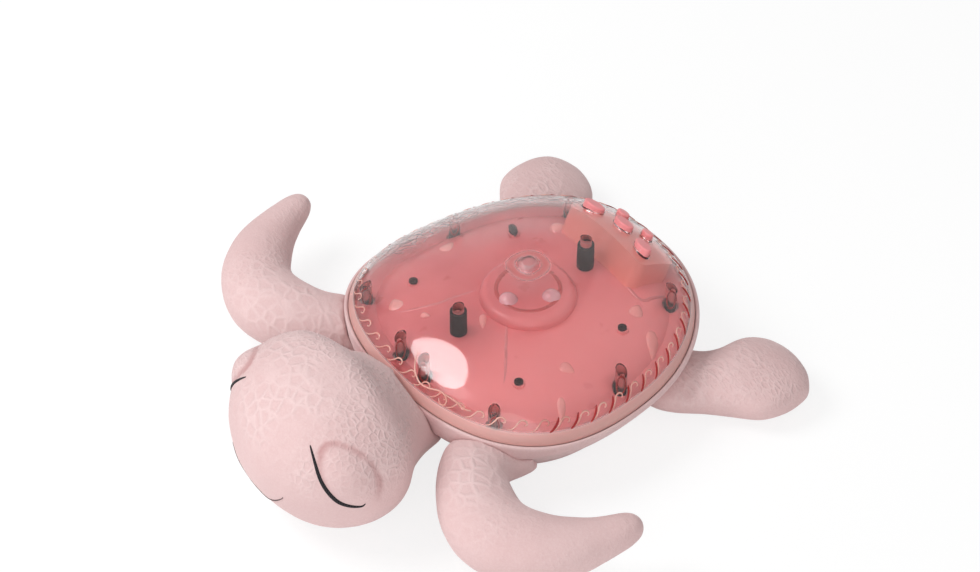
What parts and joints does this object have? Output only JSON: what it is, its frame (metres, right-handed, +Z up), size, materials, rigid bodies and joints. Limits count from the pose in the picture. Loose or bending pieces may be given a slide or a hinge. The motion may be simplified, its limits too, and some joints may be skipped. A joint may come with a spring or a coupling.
{
  "type": "turtle night light projector",
  "caption": "Plush sea turtle with a clear domed shell over a light projector, push buttons in the dome and a belly opening to the battery door.",
  "frame": {"origin": "on the table under the middle of the toy's outer box", "axes": "+Z up, -Y towards the head, +X towards the turtle's own left side"},
  "size_m": [0.331, 0.3092, 0.0968],
  "materials": {
    "black_plastic": "matt black",
    "black_steel": "blackened",
    "black_thread": "satin stitch",
    "cell_wrap": "printed sleeve without any marking",
    "circuit_board": "satin lacquer",
    "clear_plastic": "clear, polished",
    "coral_button": "satin coral pink",
    "coral_plastic": "smooth coral pink",
    "grey_thread": "thin stitch",
    "hook_tape": "rough hooks",
    "paper_cone": "pressed paper",
    "pink_velour": "short pile with an embossed scale pattern",
    "red_wire": "smooth sleeve",
    "rubber": "matt silicone",
    "steel": "plated",
    "tinted_clear": "clear, tinted pink, polished",
    "white_plastic": "matt white"
  },
  "bodies": {
    "turtle": {"base_shell": "white_plastic", "battery_cells": "cell_wrap", "battery_contacts": "steel", "battery_springs": "steel", "belly_panel": "pink_velour", "board_components": "black_plastic", "board_screws": "steel", "bracket_screws": "steel", "button_board": "circuit_board", "chassis_screws": "steel", "disc_pin": "steel", "disc_retainer": "steel", "dome_screws": "black_steel", "eye_stitching": "black_thread", "eyelid_left": "pink_velour", "eyelid_right": "pink_velour", "front_flipper_left": "pink_velour", "front_flipper_right": "pink_velour", "keypad_housing": "coral_plastic", "keypad_screws": "steel", "lamp_board": "circuit_board", "lamps": "clear_plastic", "leads": "red_wire", "loop_strip": "hook_tape", "main_board": "circuit_board", "motor_bracket": "steel", "motor_can": "steel", "motor_gearbox": "white_plastic", "mouth_stitching": "grey_thread", "plush_body": "pink_velour", "plush_head": "pink_velour", "post_sleeves": "black_plastic", "projector_cap": "coral_plastic", "projector_chassis": "white_plastic", "projector_lenses": "clear_plastic", "rear_flipper_left": "pink_velour", "rear_flipper_right": "pink_velour", "reflector_tray": "coral_plastic", "rubber_keypad": "rubber", "shell_dome": "tinted_clear", "speaker_cone": "paper_cone", "speaker_frame": "black_steel", "speaker_magnet": "steel", "speaker_screws": "steel", "tray_screws": "black_steel"},
    "wave_disc": {"wave_disc": "clear_plastic"},
    "pinion": {"pinion": "white_plastic", "motor_shaft": "steel"},
    "battery_door": {"battery_door": "white_plastic", "battery_door_screws": "steel"},
    "belly_flap": {"belly_flap": "pink_velour", "hook_strip": "hook_tape"},
    "button_light": {"button_light": "coral_button"},
    "button_wave": {"button_wave": "coral_button"},
    "button_sound": {"button_sound": "coral_button"},
    "button_volume_down": {"button_volume_down": "coral_button"},
    "button_volume_up": {"button_volume_up": "coral_button"}
  },
  "joints": [
    {"name": "button_light_press", "type": "slide", "parent": "turtle", "child": "button_light", "axis": [0, -0.4384, -0.8988], "range_m": [0, 0.0012], "stiffness_N_per_m": 500, "springref_m": -0.0006, "deforming": ["rubber_keypad"]},
    {"name": "button_wave_press", "type": "slide", "parent": "turtle", "child": "button_wave", "axis": [0, -0.4384, -0.8988], "range_m": [0, 0.0012], "stiffness_N_per_m": 500, "springref_m": -0.0006, "deforming": ["rubber_keypad"]},
    {"name": "button_sound_press", "type": "slide", "parent": "turtle", "child": "button_sound", "axis": [0, -0.4384, -0.8988], "range_m": [0, 0.0012], "stiffness_N_per_m": 500, "springref_m": -0.0006, "deforming": ["rubber_keypad"]},
    {"name": "button_volume_down_press", "type": "slide", "parent": "turtle", "child": "button_volume_down", "axis": [0, -0.4384, -0.8988], "range_m": [0, 0.0012], "stiffness_N_per_m": 500, "springref_m": -0.0006, "deforming": ["rubber_keypad"]},
    {"name": "button_volume_up_press", "type": "slide", "parent": "turtle", "child": "button_volume_up", "axis": [0, -0.4384, -0.8988], "range_m": [0, 0.0012], "stiffness_N_per_m": 500, "springref_m": -0.0006, "deforming": ["rubber_keypad"]},
    {"name": "wave_disc_spin", "type": "hinge", "parent": "turtle", "child": "wave_disc", "pos_m": [0, 0.03773, 0.0486], "axis": [0, 0, 1], "continuous": true},
    {"name": "motor_shaft_spin", "type": "hinge", "parent": "turtle", "child": "pinion", "pos_m": [0, 0.06653, 0.0486], "axis": [0, 0, 1], "continuous": true},
    {"name": "battery_door_lift", "type": "slide", "parent": "turtle", "child": "battery_door", "axis": [0, 0, -1], "range_m": [0, 0.0055]},
    {"name": "belly_flap_hinge", "type": "hinge", "parent": "turtle", "child": "belly_flap", "pos_m": [0, -0.00352, 0.0003], "axis": [-1, 0, 0], "range_deg": [0, 165]}
  ],
  "couplings": [
    {"joint": "motor_shaft_spin", "follows": "wave_disc_spin", "ratio": -5}
  ]
}
